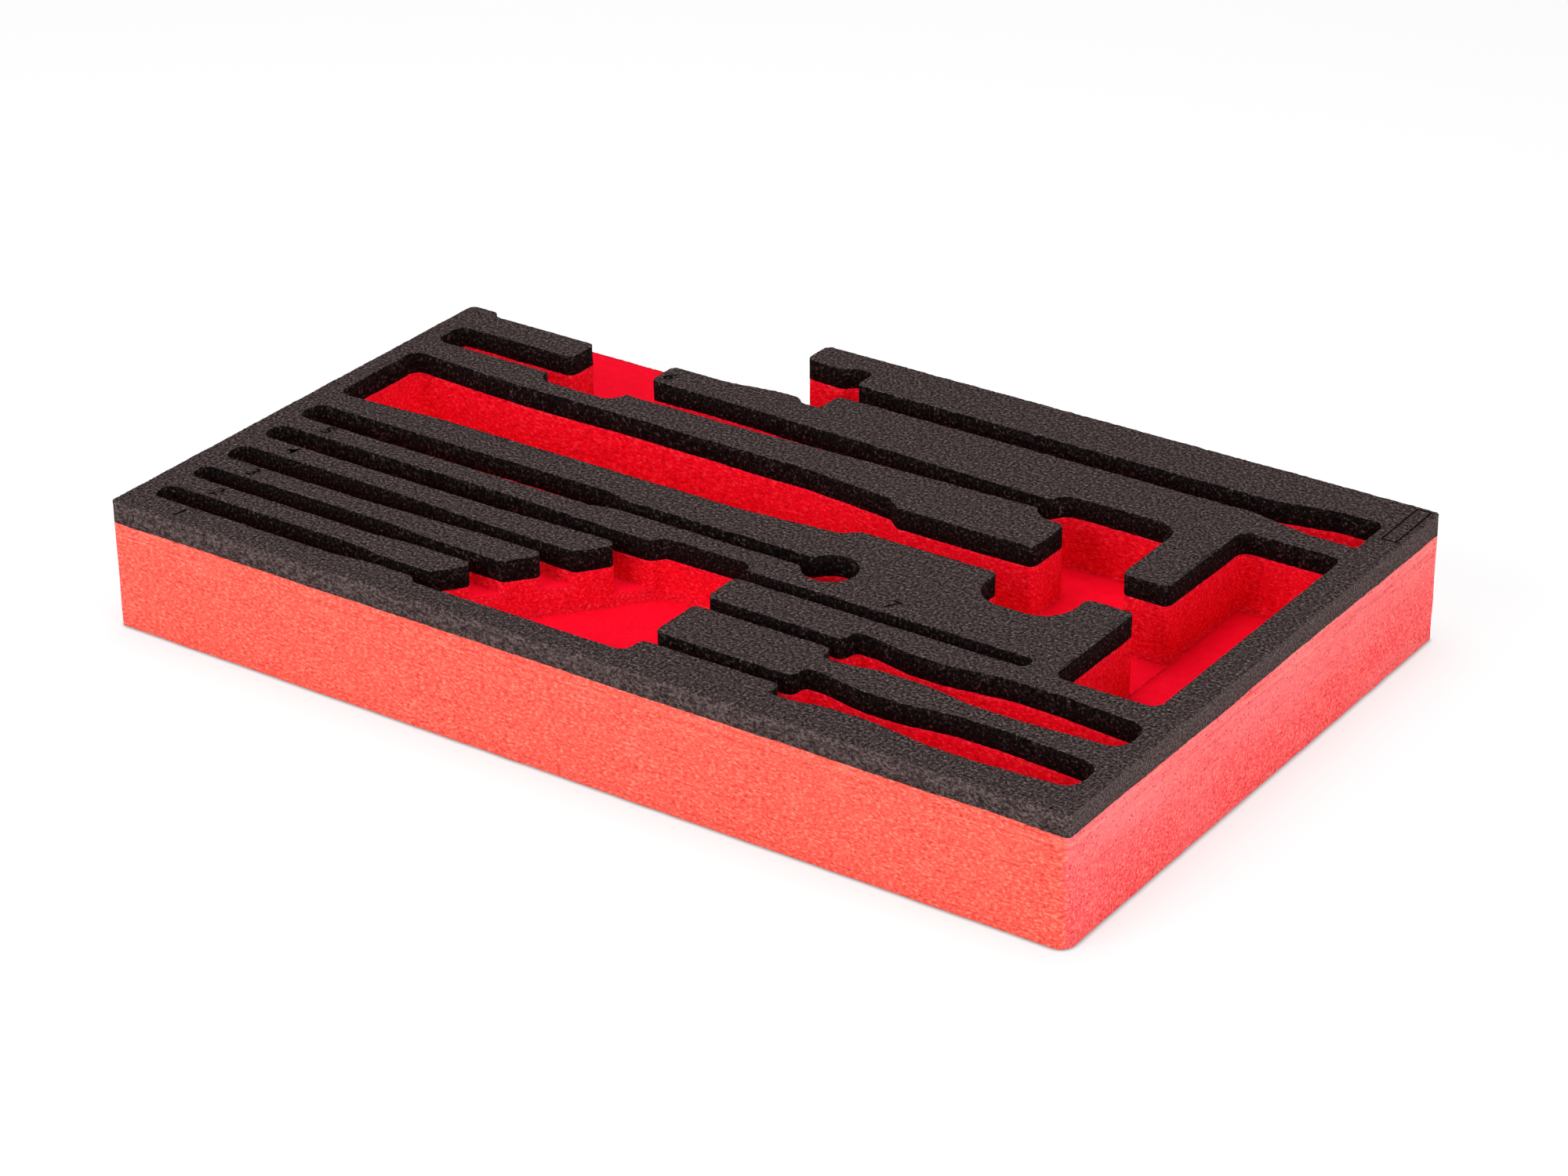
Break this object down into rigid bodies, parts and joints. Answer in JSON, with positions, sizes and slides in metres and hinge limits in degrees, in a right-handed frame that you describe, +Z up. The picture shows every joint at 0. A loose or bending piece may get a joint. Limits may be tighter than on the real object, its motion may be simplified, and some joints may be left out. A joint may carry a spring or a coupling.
{
  "type": "foam tool insert",
  "caption": "Rectangular two-layer foam drawer insert with routed pockets and finger notches for hand tools, dark top layer on a red base, one corner cut away.",
  "frame": {"origin": "middle of the block's bottom face, on the surface it rests on", "axes": "+X along the long side, towards the right; +Y towards the back, where the cut-away corner is at the left; +Z up out of the pockets"},
  "size_m": [0.35, 0.2224, 0.044],
  "materials": {
    "red_foam": "matt closed-cell foam",
    "charcoal_foam": "matt closed-cell foam with fine speckle"
  },
  "bodies": {
    "root": {"base_layer": "red_foam", "top_layer": "charcoal_foam"}
  },
  "joints": []
}
